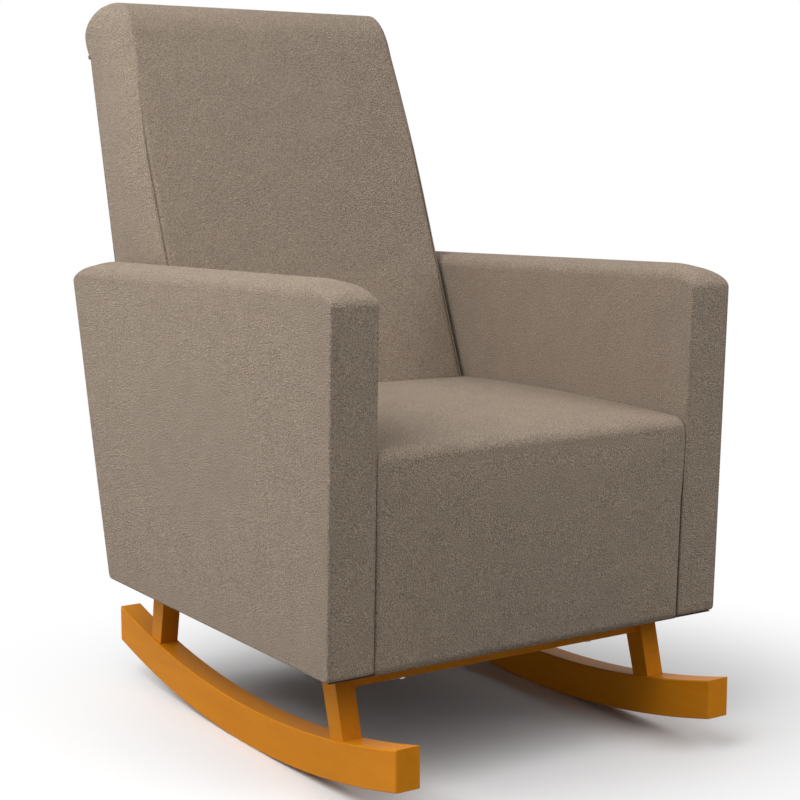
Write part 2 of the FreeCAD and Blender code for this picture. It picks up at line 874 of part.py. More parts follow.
def make_back():
    """The padded cover, the wooden frame in it, and the flat panel that closes the rear."""
    body = new_body("back_cover")
    loft(body, "back_cover", section_places(back_half, size.back_edge), back_outline)
    top = size.overall_height - size.back_pad_front
    reach = roll_reach - size.roll_pad
    over = size.cut_overrun
    front = size.back_pad_front
    room = [
        corner(back_front_at(back_base - over) + front, back_base - over),
        corner(back_front_at(top) + front, top, size.back_edge),
        corner(reach, top, size.roll_corner - skin * 2),
        corner(reach, lip + skin),
        corner(back_rear_at(lip) - rear_lap - skin / 2, lip + skin),
        corner(back_rear_at(lip) - rear_lap - skin / 2, lip - gap),
        corner(back_rear_at(lip) + over, lip - gap),
        corner(back_rear_at(back_base - over) + over, back_base - over),
    ]
    hollow(body, "back_cover", room, -(back_half - skin), back_half - skin)
    register("back_cover", body)

    panel_inner = frame_half - size.back_panel_thickness
    post_outer = rail_inner - gap
    post_inner = post_outer - size.back_post_thickness
    post_top = size.overall_height * size.back_post_share
    for word, side in SIDES.items():
        low, high = sided(side, panel_inner, frame_half)
        prism(f"back_panel_{word}", slab(frame_front, frame_rear, back_base, frame_top), low, high)
        low, high = sided(side, post_inner, post_outer)
        outline = rear_slab(frame_rear, size.back_post_depth, size.underside + gap, post_top)
        prism(f"back_post_{word}", outline, low, high)
    rail = size.back_rail_height
    between = panel_inner - gap
    outline = rear_slab(frame_rear, size.back_rail_depth, frame_top - rail, frame_top)
    prism("back_top_rail", outline, -between, between)
    middle_low = rail_top + rail
    outline = rear_slab(frame_rear, size.back_rail_depth, middle_low, middle_low + rail)
    prism("back_lower_rail", outline, gap - post_inner, post_inner - gap)
    outline = front_slab(frame_front, size.back_rail_depth, back_base, back_base + rail)
    prism("back_front_rail", outline, -between, between)
    strips = []
    pitch = (frame_top - back_base) / BACK_STRIPS
    for i in range(BACK_STRIPS):
        low = back_base + (pitch - size.webbing_width) / 2 + pitch * i
        outline = front_slab(strap_front, size.webbing_thickness, low, low + size.webbing_width)
        strips.append(prism_body(f"back_strap_{i}", outline, -frame_half, frame_half))
    group("back_webbing", strips)
    outline = front_slab(foam_front, size.back_foam_depth, back_base, frame_top)
    prism("back_foam", outline, -frame_half, frame_half)
    low = frame_top + gap
    roll = [
        corner(back_front_at(low) + foam_front, low),
        corner(back_front_at(top - gap) + foam_front, top - gap, size.back_edge),
        corner(reach - gap, top - gap, size.roll_corner - skin * 2),
        corner(reach - gap, low),
    ]
    prism("roll_foam", roll, -frame_half, frame_half)
    foot = size.underside + gap
    head = lip - gap * 2
    prism("back_board", rear_slab(rear_lap, size.board_thickness, foot, head), -frame_half, frame_half)
    prism("back_panel_cover", rear_slab(gap * 0, skin, foot, head), -back_half, back_half)


def make_dust_cover():
    outline = rectangle(
        front_at(size.underside) + skin, size.arm_rear_foot - skin, base_top, size.underside
    )
    prism("dust_cover", outline, -(half_span - skin), half_span - skin)


# Tenons and bolts


def bolt(name, width, grip, start, direction):
    """A bolt whose six-sided head sits on start, with a shank that runs grip far."""
    shank = rod(f"{name}_shank", width, grip, start, direction)
    depth = width * size.bolt_head_depth_share
    place = [s - depth * d if d else s for s, d in zip(start, direction)]
    head = placed("Part::Prism", f"{name}_head", depth, place, direction)
    head.Polygon = 6
    head.setExpression("Circumradius", (width * size.bolt_head_share / 2).text)
    both = doc.addObject("Part::Fuse", name)
    both.Base = shank
    both.Tool = head
    return both


def tenon(name, top, foot, side, play):
    """A flat tenon that stands half in the rocker and half in the leg, along the leg."""
    foot_y = foot + size.leg_depth_foot / 2
    foot_z = rocker_top(foot_y)
    over = top + size.leg_depth_top / 2 - foot_y
    up = base_top - foot_z
    reach = (over * over + up * up).root()
    along = over / reach, up / reach
    half = size.tenon_length / 2 + play
    thick = size.tenon_thickness / 2 + play
    tips = []
    for end, edge in ((-1, -1), (1, -1), (1, 1), (-1, 1)):
        y = foot_y + half * end * along[0] + thick * edge * along[1]
        z = foot_z + half * end * along[1] - thick * edge * along[0]
        tips.append(corner(y, z))
    wide = size.tenon_width / 2 + play
    low, high = sided(side, leg_row - wide, leg_row + wide)
    return prism_body(name, tips, low, high)


def make_fasteners():
    play = size.hole_play * 2
    tenons = []
    for place, top, foot in (
        ("front", size.front_leg_top, size.front_leg_foot),
        ("rear", size.rear_leg_top, size.rear_leg_foot),
    ):
        for word, side in SIDES.items():
            name = f"tenon_{place}_{word}"
            tenons.append(tenon(name, top, foot, side, gap * 0))
            mortise = tenon(f"{name}_mortise", top, foot, side, size.hole_play)
            drill(f"leg_{place}_{word}", [mortise])
            drill(f"rocker_{word}", [mortise])
    group("leg_tenons", tenons)

    up = (0, 0, 1)
    rail = size.base_rail_height
    bolts, holes = [], {"front": [], "rear": []}
    rows = {
        "front": size.front_leg_top + size.base_rail_thickness / 2,
        "rear": size.rear_leg_top + size.leg_depth_top - size.base_rail_thickness / 2,
    }
    for place, y in rows.items():
        for word, side in SIDES.items():
            start = (leg_row * size.base_bolt_row_share * side, y, base_top - rail)
            name = f"base_bolt_{place}_{word}"
            grip = rail + size.dust_cloth + size.base_bolt_reach
            bolts.append(bolt(name, size.base_bolt_width, grip, start, up))
            holes[place].append(rod(f"{name}_hole", size.base_bolt_width + play, grip, start, up))
    group("base_bolts", bolts)
    drill("base_rail_front", holes["front"])
    drill("seat_bearer", holes["front"])
    drill("base_rail_rear", holes["rear"])
    drill("seat_rail_rear", holes["rear"])
    drill("dust_cover", holes["front"] + holes["rear"])

    bolts = []
    board = arm_inner + skin + gap * 2 + size.arm_pad_inside + size.board_thickness
    grip = board + gap + size.arm_bolt_grip - rail_inner
    for word, side in SIDES.items():
        out = (side, 0, 0)
        holes = []
        for place, y in (("front", size.arm_bolt_front), ("rear", size.arm_bolt_rear)):
            start = (side * rail_inner, y, size.arm_bolt_height)
            name = f"arm_bolt_{place}_{word}"
            bolts.append(bolt(name, size.arm_bolt_width, grip, start, out))
            holes.append(rod(f"{name}_hole", size.arm_bolt_width + play, grip, start, out))
        pieces = ("seat_rail", "arm_cover", "arm_padding", "arm_inner_board", "arm_bottom_rail")
        for piece in pieces:
            drill(f"{piece}_{word}", holes)
    group("arm_bolts", bolts)

    bolts = []
    post = size.back_post_thickness
    for word, side in SIDES.items():
        out = (side, 0, 0)
        holes = []
        for place, z in (("low", size.back_bolt_low), ("high", size.back_bolt_high)):
            y = back_rear_at(size.back_bolt_low) - frame_rear - size.back_post_depth / 2
            start = (side * (rail_inner - gap - post), y, z)
            name = f"back_bolt_{place}_{word}"
            grip = post + gap + size.seat_rail_thickness
            bolts.append(bolt(name, size.arm_bolt_width, grip, start, out))
            holes.append(rod(f"{name}_hole", size.arm_bolt_width + play, grip, start, out))
        drill(f"back_post_{word}", holes)
        drill(f"seat_rail_{word}", holes)
    group("back_bolts", bolts)


make_base()
make_seat_frame()
make_seat_webbing()
make_seat()
for arm_word, arm_side in SIDES.items():
    make_arm(arm_word, arm_side)
make_back()
make_dust_cover()
make_fasteners()
doc.recompute()

faults = []
for thing in doc.Objects:
    if "Invalid" in thing.State or "Error" in thing.State:
        faults.append(f"{thing.Label}: {thing.State}")
for name, thing in nodes.items():
    if thing.Shape.isNull() or not thing.Shape.isValid() or not thing.Shape.Solids:
        faults.append(f"{name}: its shape is empty or not valid")
if faults:
    raise RuntimeError("; ".join(faults))
for name, thing in nodes.items():
    thing.Shape.exportStep(f"parts/{name}.step")
print(f"{len(nodes)} nodes, {sum(len(t.Shape.Solids) for t in nodes.values())} solids")
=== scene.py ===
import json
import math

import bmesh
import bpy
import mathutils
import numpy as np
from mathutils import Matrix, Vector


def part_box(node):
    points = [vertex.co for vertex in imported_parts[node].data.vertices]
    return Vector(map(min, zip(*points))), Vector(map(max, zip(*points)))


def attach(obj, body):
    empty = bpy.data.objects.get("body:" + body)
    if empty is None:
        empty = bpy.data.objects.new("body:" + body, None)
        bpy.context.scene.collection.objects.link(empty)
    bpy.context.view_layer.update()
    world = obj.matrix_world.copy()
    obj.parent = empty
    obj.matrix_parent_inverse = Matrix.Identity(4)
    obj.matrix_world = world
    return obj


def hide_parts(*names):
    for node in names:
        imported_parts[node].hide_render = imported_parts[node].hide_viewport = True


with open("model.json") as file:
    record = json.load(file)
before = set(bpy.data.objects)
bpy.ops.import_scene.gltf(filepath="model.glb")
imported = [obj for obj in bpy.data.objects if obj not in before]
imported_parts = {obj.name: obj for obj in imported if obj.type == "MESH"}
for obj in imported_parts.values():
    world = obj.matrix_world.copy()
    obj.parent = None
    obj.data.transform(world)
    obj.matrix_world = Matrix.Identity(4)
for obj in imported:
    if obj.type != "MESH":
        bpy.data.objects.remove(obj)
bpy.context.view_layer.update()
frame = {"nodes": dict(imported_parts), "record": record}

# %% [markdown]
# # An upholstered rocking chair
# A box-armed nursery chair: a wooden base with two curved rockers carries a seat, a tall raked back
# and two arms, all wrapped tightly in one taupe cloth with small nubs.
# The wooden and steel parts come from the CAD frame with their final shape and only get a finish.
# The five sewn covers are made anew, because cloth over padding is rounder than a CAD solid.
# Their sizes start from the boxes of the CAD covers, so they fit the frame without any shifting.

MM = 0.001
nodes = frame["nodes"]


def side_of(node, end, axis, more=0.0):
    """One side of a part's box in millimetres, plus more, to a tenth.

    The end is 0 for the low side and 1 for the high one, the axis 0, 1 or 2 for X, Y or Z."""
    return round(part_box(node)[end][axis] / MM + more, 1)


# %% [markdown]
# ## The camera
# The picture was taken with a long lens from a little above the arms' height, a good third of a
# right angle round to the chair's left. A long lens keeps the uprights nearly parallel.
# Setting place, turn and lens by number, not by a tracking constraint, keeps the frame repeatable.

# %% Camera
CAMERA_PLACE = (-1.3000, -2.0414, 0.7701)
CAMERA_DOWN = 7.95
CAMERA_TURN = 33.33
LENS = 77.508
SENSOR = 36

scene = bpy.context.scene
camera = bpy.data.objects.new("camera", bpy.data.cameras.new("camera"))
scene.collection.objects.link(camera)
camera.location = CAMERA_PLACE
camera.rotation_euler = (math.radians(90 - CAMERA_DOWN), 0, math.radians(-CAMERA_TURN))
camera.data.lens = LENS
camera.data.sensor_width = SENSOR
scene.camera = camera
print("camera", CAMERA_TURN, "degrees to the left,", CAMERA_DOWN, "degrees down")

# %% [markdown]
# ## Writing shaders as sums
# A finish is a small recipe: a base colour, plus a share of a pattern, minus a share of another.
# Blender builds it from Math nodes. Wrapping a socket in a class with + - * ** lets the recipe be
# read as one line, and the nodes appear behind it.

# %% Amounts
class Amount:
    """A number that changes over a surface; sums and products of it add Math nodes."""

    def __init__(self, net, socket):
        self.net = net
        self.socket = socket

    def math(self, operation, first, second):
        node = self.net.node("ShaderNodeMath", {"operation": operation}, {0: first, 1: second})
        return Amount(self.net, node.outputs[0])

    def __add__(self, other):
        return self.math("ADD", self, other)

    def __sub__(self, other):
        return self.math("SUBTRACT", self, other)

    def __rsub__(self, other):
        return self.math("SUBTRACT", other, self)

    def __mul__(self, other):
        return self.math("MULTIPLY", self, other)

    def __pow__(self, other):
        return self.math("POWER", self, other)

    def __rpow__(self, other):
        return self.math("POWER", other, self)

    __radd__ = __add__
    __rmul__ = __mul__

    def at_least(self, other):
        return self.math("MAXIMUM", self, other)


# %% [markdown]
# ## Nodes, patterns and finishes
# All other nodes are added by one method, which takes the node's type, its settings and what goes
# into its sockets. The patterns that several finishes share are short methods on top of it.
# The same class serves the room's light, which is a node tree as well.

# %% Nodes and patterns
class Net:
    """A tree of shader nodes, one method that adds any node to it, and the patterns in use."""

    def __init__(self, tree):
        self.tree = tree

    def feed(self, socket, value):
        """Links a socket to an Amount or another socket, or sets it to a plain value."""
        if isinstance(value, Amount):
            value = value.socket
        if isinstance(value, bpy.types.NodeSocket):
            self.tree.links.new(value, socket)
        else:
            socket.default_value = value

    def node(self, kind, settings=None, values=None):
        """Adds a node: settings first, then the values or links of its sockets."""
        node = self.tree.nodes.new(kind)
        for key, value in (settings or {}).items():
            if key == "stops":
                ramp = node.color_ramp
                while len(ramp.elements) < len(value):
                    ramp.elements.new(0.5)
                for element, (place, colour) in zip(ramp.elements, value):
                    element.position = place
                    element.color = (*colour, 1)
            else:
                setattr(node, key, value)
        for key, value in (values or {}).items():
            self.feed(node.inputs[key], value)
        return node

    def place(self, scale=(1, 1, 1), shift=(0, 0, 0), turn=(0, 0, 0)):
        """Object coordinates in metres, stretched and turned, then shifted."""
        read = self.node("ShaderNodeTexCoord")
        values = {"Vector": read.outputs["Object"], "Location": shift, "Rotation": turn, "Scale": scale}
        return self.node("ShaderNodeMapping", None, values).outputs[0]

    def noise(self, place, scale, detail=2.0, roughness=0.5, distortion=0.0):
        """Soft random pattern from 0 to 1, about 0.5 on average."""
        values = {"Vector": place, "Scale": scale, "Detail": detail}
        values.update({"Roughness": roughness, "Distortion": distortion})
        return Amount(self, self.node("ShaderNodeTexNoise", None, values).outputs["Fac"])

    def between(self, share, dark, light):
        """Colour that goes from dark to light as share goes from 0 to 1."""
        stops = {"stops": [(0.0, dark), (1.0, light)]}
        return self.node("ShaderNodeValToRGB", stops, {"Fac": share}).outputs["Color"]

    def bump(self, height, depth, strength):
        """Normal of a surface whose height runs over depth metres."""
        values = {"Height": height, "Distance": depth, "Strength": strength}
        return self.node("ShaderNodeBump", None, values).outputs["Normal"]

    def seen(self):
        """1 for what the camera sees, also mirrored or through glass, and 0 for all other light."""
        rays = self.node("ShaderNodeLightPath").outputs
        direct, mirrored, through = (
            Amount(self, rays[f"Is {word} Ray"]) for word in ("Camera", "Glossy", "Transmission")
        )
        return direct.at_least(mirrored).at_least(through)


class Finish(Net):
    """One material: its node tree and its shader."""

    def __init__(self, name):
        self.material = bpy.data.materials.new(name)
        self.material.use_nodes = True
        super().__init__(self.material.node_tree)
        self.shader = self.tree.nodes["Principled BSDF"]
        self.output = self.tree.nodes["Material Output"]

    def dress(self, **values):
        """Sets the shader's own sockets; underscores in a name stand for spaces."""
        for key, value in values.items():
            self.feed(self.shader.inputs[key.replace("_", " ")], value)
        return self.material


# %% [markdown]
# ## The cloth
# The cover is a soft woven cloth whose yarn has small curls, about two millimetres across.
# From afar they give a fine speckle, strong where light grazes the cloth and faint on the tops.
# Two noises do that: a coarser one for the nubs and a finer one for the yarn between them.
# Both drive the bump, and the colour too: the nubs' tops are painted lighter and the hollows
# between them painted darker, which is painted shade over the yarn's own uneven tone.
# A third noise, far broader, makes the faint clouds that a large piece of one cloth shows.

# %% Taupe fabric
def taupe_fabric():
    """Base taupe with painted shade: lighter on the nubs and darker between them, and a faint broad mottle.
    """
    cloth = Finish("taupe_fabric")
    place = cloth.place()
    nub = cloth.noise(place, 520.0, 1.0)
    yarn = cloth.noise(place, 900.0, 1.0)
    broad = cloth.noise(place, 26.0, 3.0, 0.6)
    height = nub * 2.0 + yarn * 1.8 - 1.4
    # The colour follows the nubs' height: lighter tops and darker hollows are painted shade, while the broad
    # mottle is the cloth's own tone.
    colour = cloth.between(height + broad * 0.3 - 0.15, (0.242, 0.190, 0.145), (0.506, 0.404, 0.311))
    return cloth.dress(
        Base_Color=colour,
        Roughness=0.96,
        Normal=cloth.bump(height, 0.0013, 1.0),
        Specular_IOR_Level=0.12,
        Sheen_Weight=0.12,
        Sheen_Roughness=0.5,
        Sheen_Tint=(0.8, 0.72, 0.64, 1),
    )


FABRIC = taupe_fabric()
print("fabric nodes:", len(FABRIC.node_tree.nodes))

# %% [markdown]
# ## The wood
# Rockers, legs and rails are a pale hardwood under a honey-coloured satin lacquer.
# The grain is long fibres with a few broad growth bands, and it runs along each stick.
# A noise stretched along the stick gives fibres on the sides and small dots on the end, just as
# a real cut does, so one solid pattern serves all faces.

# %% Honey wood
GRAIN_TURNS = {"y": (0, 0, 0), "x": (0, 0, math.radians(90)), "z": (math.radians(90), 0, 0)}


def honey_wood(along):
    """Stained wood whose fibres run along one axis: bands and fibres mix dark and light honey."""
    wood = Finish(f"honey_wood_{along}")
    turn = GRAIN_TURNS[along]
    fine_place = wood.place((1, 0.03, 1), turn=turn)
    bands = wood.noise(wood.place((1, 0.10, 1), turn=turn), 42.0, 3.0, 0.55, 0.8)
    fibres = wood.noise(fine_place, 900.0, 4.0, 0.7)
    pores = wood.noise(fine_place, 2600.0, 2.0, 0.6)
    share = bands * 0.75 + fibres * 0.45 + pores * 0.15 - 0.18
    return wood.dress(
        Base_Color=wood.between(share, (0.57, 0.178, 0.005), (0.80, 0.305, 0.013)),
        Roughness=0.38 + bands * 0.12,
        Normal=wood.bump(fibres + pores * 0.5, 0.0004, 0.25),
        Specular_IOR_Level=0.06,
        Coat_Weight=0.02,
        Coat_Roughness=0.25,
    )


HONEY = {axis: honey_wood(axis) for axis in "xyz"}
print("wood finishes:", sorted(HONEY))

# %% [markdown]
# ## What is inside
# The frame wood, plywood, card, wadding, straps, black cloth and bolts are hidden in normal use,
# but they are part of the model and get honest finishes too: sawn wood with open grain, card with
# flecks, woven straps, and dull zinc.

# %% Inner finishes
BAND_WIDTH = 0.3142


def grained(name, dark, light, along, rough):
    """Raw wood: stretched noise between two tones, with a rough surface."""
    wood = Finish(name)
    place = wood.place((1, 0.05, 1), turn=GRAIN_TURNS[along])
    share = wood.noise(place, 120.0, 4.0, 0.65, 0.4)
    fibres = wood.noise(place, 1400.0, 2.0, 0.6)
    normal = wood.bump(share + fibres, 0.0005, 0.4)
    return wood.dress(Base_Color=wood.between(share, dark, light), Roughness=rough, Normal=normal)


def speckled(name, dark, light, scale, rough, depth):
    """Card, wadding or cloth: one fleck pattern for tone and for height."""
    stuff = Finish(name)
    share = stuff.noise(stuff.place(), scale, 4.0, 0.7)
    normal = stuff.bump(share, depth, 0.6)
    return stuff.dress(Base_Color=stuff.between(share, dark, light), Roughness=rough, Normal=normal)


def woven(name, dark, light, pitch):
    """Strap: two crossing waves of the yarn pitch, in metres; at scale 1 a band is 0.3142 wide."""
    strap = Finish(name)
    waves = []
    for axis in ("X", "Y"):
        settings = {"wave_type": "BANDS", "bands_direction": axis}
        values = {"Vector": strap.place(), "Scale": BAND_WIDTH / pitch, "Distortion": 0.6, "Detail": 1.0}
        waves.append(Amount(strap, strap.node("ShaderNodeTexWave", settings, values).outputs["Fac"]))
    share = waves[0] * 0.5 + waves[1] * 0.5
    normal = strap.bump(share, 0.0006, 0.7)
    return strap.dress(Base_Color=strap.between(share, dark, light), Roughness=0.8, Normal=normal)


def zinc(name):
    """Plated steel, with a faint mottle in tone and gloss."""
    steel = Finish(name)
    mottle = steel.noise(steel.place(), 260.0, 3.0, 0.6)
    colour = steel.between(mottle, (0.46, 0.46, 0.47), (0.62, 0.62, 0.63))
    return steel.dress(Base_Color=colour, Metallic=1.0, Roughness=0.28 + mottle * 0.2)


SLOT_FINISHES = {
    "frame_wood": grained("frame_wood", (0.42, 0.29, 0.16), (0.66, 0.5, 0.32), "y", 0.8),
    "birch_plywood": grained("birch_plywood", (0.52, 0.4, 0.25), (0.72, 0.6, 0.43), "z", 0.7),
    "grey_cardboard": speckled(
        "grey_cardboard", (0.3, 0.28, 0.25), (0.46, 0.44, 0.4), 500.0, 0.95, 0.0003
    ),
    "white_padding": speckled(
        "white_padding", (0.68, 0.66, 0.6), (0.86, 0.84, 0.79), 240.0, 0.95, 0.002
    ),
    "black_cloth": speckled(
        "black_cloth", (0.012, 0.012, 0.013), (0.045, 0.045, 0.047), 900.0, 0.9, 0.0004
    ),
    "webbing_strap": woven("webbing_strap", (0.2, 0.15, 0.09), (0.46, 0.38, 0.26), 0.0022),
    "fastener_steel": zinc("fastener_steel"),
    "taupe_fabric": FABRIC,
}
print("finishes by slot:", len(SLOT_FINISHES))

# %% [markdown]
# ## Giving the frame its finishes
# Each part names its finish in the record. The honey wood has one version for each direction in
# which its grain can run: rockers and side rails lie along Y, cross rails along X, legs stand.

# %% Dress the frame
GRAIN_OF = {"rocker": "y", "base_rail_left": "y", "base_rail_right": "y", "base_rail": "x", "leg": "z"}


def finish_for(node_name, slot_name):
    """The material of a part: by grain direction for honey wood, else by its slot."""
    if slot_name != "honey_wood":
        return SLOT_FINISHES[slot_name]
    start = next(word for word in GRAIN_OF if node_name.startswith(word))
    return HONEY[GRAIN_OF[start]]


for part in frame["record"]["subparts"]:
    mesh = nodes[part["node"]].data
    mesh.materials.clear()
    mesh.materials.append(finish_for(part["node"], part["material_slot"]))

# %% [markdown]
# ## Lines with rounded corners
# Every cover starts as a line in the chair's side view: up the front, over the top and down the
# rear. Its corners are eased by quarter ellipses. Along with each point we keep the outward
# direction, and a running number that says on which side of the polygon the point lies, so that an
# edge can be sharp on one side, soft on the next, and change smoothly round the corner between.

# %% Rounded path
def rounded_path(corners, cuts, step):
    """Points (Y, Z), outward normals and side numbers along a line with eased corners.

    A corner is a quarter of an ellipse, skewed to fit it: it starts one length before the corner
    and ends another length after it. Points are step apart, and three times closer in corners,
    which have at least six."""
    corners = np.array(corners, float)
    runs = np.diff(corners, axis=0)
    heads = runs / np.linalg.norm(runs, axis=1)[:, None]
    points, tangents, sides = [], [], []
    start = corners[0]
    for i in range(len(heads)):
        turning = i < len(heads) - 1
        before, after = cuts[i] if turning else (0.0, 0.0)
        end = corners[i + 1] - heads[i] * before
        count = max(2, int(np.linalg.norm(end - start) / step))
        share = np.linspace(0, 1, count, endpoint=not turning)[:, None]
        points.append(start * (1 - share) + end * share)
        tangents.append(np.repeat(heads[i][None], count, 0))
        sides.append(np.full(count, float(i)))
        if turning:
            count = max(6, int((before + after) / (step / 3)))
            part = np.linspace(0, 1, count, endpoint=False)
            angle = part[:, None] * math.pi / 2
            reach = heads[i] * before * np.sin(angle) + heads[i + 1] * after * (1 - np.cos(angle))
            points.append(end + reach)
            tangents.append(heads[i] * before * np.cos(angle) + heads[i + 1] * after * np.sin(angle))
            sides.append(i + part)
            start = corners[i + 1] + heads[i + 1] * after
    tangent = np.concatenate(tangents)
    tangent = tangent / np.linalg.norm(tangent, axis=1)[:, None]
    normals = np.stack([-tangent[:, 1], tangent[:, 0]], 1)
    return np.concatenate(points), normals, np.concatenate(sides)


def by_side(sides, values):
    """Value for each point: values[k] on side k, blended smoothly round the corners."""
    whole = np.floor(sides)
    part = sides - whole
    smooth = whole + part * part * (3 - 2 * part)
    return np.interp(smooth, np.arange(len(values)), values)


sample = rounded_path([(0, 0), (0, 60), (60, 60)], ((20, 20),), 10.0)
print("a square corner eased by 20 mm has", int(np.sum(sample[2] % 1 > 0)) + 1, "points")

# %% [markdown]
# ## From a grid to a piece
# A surface here is a grid of points: one direction follows the path, the other goes across it.
# Neighbouring points become four-sided faces. Points that coincide are merged, and the sign of the
# faces' areas against the grid's middle tells whether they look outwards.

# %% Grid to mesh
def grid_mesh(name, points):
    """Mesh of a grid (rows, columns, 3) in millimetres; faces join neighbours in both directions.

    The order of a face's corners is turned round if the grid's sum of area times direction from
    its middle is negative, which means that the faces look inwards."""
    rows, columns = points.shape[:2]
    index = np.arange(rows * columns).reshape(rows, columns)
    faces = np.stack([index[:-1, :-1], index[1:, :-1], index[1:, 1:], index[:-1, 1:]], -1)
    faces = faces.reshape(-1, 4)
    flat = points.reshape(-1, 3)
    ring = flat[faces]
    areas = np.cross(ring[:, 2] - ring[:, 0], ring[:, 3] - ring[:, 1])
    if np.sum(areas * (ring.mean(1) - flat.mean(0))) < 0:
        faces = faces[:, ::-1]
    mesh = bpy.data.meshes.new(name)
    mesh.from_pydata((flat * MM).tolist(), [], faces.tolist())
    merged = bmesh.new()
    merged.from_mesh(mesh)
    bmesh.ops.remove_doubles(merged, verts=merged.verts, dist=1e-6)
    merged.to_mesh(mesh)
    merged.free()
    mesh.update()
    return mesh


def make_cover(name, points, thickness, fill, *stands_for):
    """A sewn cover from its grid: cloth of a thickness, inwards, in place of the CAD parts named."""
    mesh = grid_mesh(name, points)
    mesh.polygons.foreach_set("use_smooth", np.ones(len(mesh.polygons), bool))
    mesh.materials.append(FABRIC)
    piece = bpy.data.objects.new(name, mesh)
    scene.collection.objects.link(piece)
    shell = piece.modifiers.new("cloth", "SOLIDIFY")
    shell.thickness = thickness * MM
    shell.offset = -1
    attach(piece, "root")
    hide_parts(*stands_for)
    print(name, points.shape[0], "by", points.shape[1], "points, in place of", *stands_for)


# %% [markdown]
# ## Seams and spacing
# A curved stretch needs points close together, and a flat one does not. So the points across a
# sheet crowd towards its borders, where the cloth turns or dips into a seam.
# A seam on tight cloth is a narrow valley, and a bell curve of the distance to the seam's line
# gives one with soft shoulders.

# %% Seams and spacing
SEAM_WIDTH = 1.3
NEAR_BORDER = (0, 0.008, 0.02, 0.04, 0.07, 0.11)
FIRST_EVEN = 0.16


def quarter(count):
    """Angles from 0 to a right angle, without the start."""
    return np.linspace(0, math.pi / 2, count + 1)[1:]


def across(count):
    """Numbers from -1 to 1, closer together near both ends, where a seam or rounding begins."""
    inward = np.concatenate([NEAR_BORDER, np.linspace(FIRST_EVEN, 1, count)])
    return np.concatenate([inward - 1, 1 - inward[::-1][1:]])


def groove(distance, depth):
    """Depth of a seam's dip at a distance from its line: a bell curve of the seam's width."""
    return depth * np.exp(-((distance / SEAM_WIDTH) ** 2))


print("share of a seam's depth at 0, 1 and 2 mm:", np.round(groove(np.arange(3), 1.0), 2))

# %% [markdown]
# ## The arms
# Each arm is a flat box of boards under thin padding, with its cover drawn tight. Its top edges
# are soft, because the padding wraps over them. The edges of the front are nearly crisp, because
# the cloth is pulled round a corner of wood there.
# The cover is one surface: nested copies of the side outline fill each broad face, a quarter
# round turns the edge, and straight runs cross the narrow band between the faces.
# The cloth is so tight here that a formula gives its slight swelling, without a simulation.

# %% Arm's sizes
ARM_LOW = side_of("arm_cover_right", 0, 2)
ARM_INSIDE = side_of("arm_cover_right", 0, 0, 0.2)
ARM_OUTSIDE = side_of("arm_cover_right", 1, 0, 1.4)
ARM_TOP_FRONT, ARM_TOP_REAR = 631.6, 619.2
ARM_MIDDLE = (-20.0, 400.0)
ARM_CORNERS = ((8.0, 8.0), (28.0, 76.0), (100.0, 29.0), (8.0, 8.0))
ARM_EDGES = (3.0, 3.2, 18.0, 5.0, 3.0)
ARM_CROWNS = (0.0, 0.8, 3.2, 1.0, 0.0)
ARM_SEAMS = (0.0, 0.9, 0.0, 0.4, 0.0)
ARM_SWELL, ARM_SWELL_REACH = 2.6, (380.0, 240.0)
ARM_STEP, ARM_EDGE_POINTS, ARM_BAND_POINTS = 10.0, 8, 6
ARM_RINGS = np.concatenate([0.985 * np.linspace(0, 1, 34) ** 0.8, [0.996, 1.0]])
COVER_THICKNESS = 2.6
FRONT_FOOT, FRONT_LEAN = -375.0, 0.032
ARM_REAR_FOOT, ARM_REAR_LEAN = 247.0, 0.247


def front_at(z):
    """The chair's front plane: it comes forward by 0.032 of the height over the arms' foot."""
    return FRONT_FOOT - FRONT_LEAN * (z - ARM_LOW)


def arm_rear_at(z):
    """The arms' rear plane: it goes back by 0.247 of the height over their foot."""
    return ARM_REAR_FOOT + ARM_REAR_LEAN * (z - ARM_LOW)


print("right arm from", ARM_INSIDE, "to", ARM_OUTSIDE, "mm, its front top at", round(front_at(ARM_TOP_FRONT)))

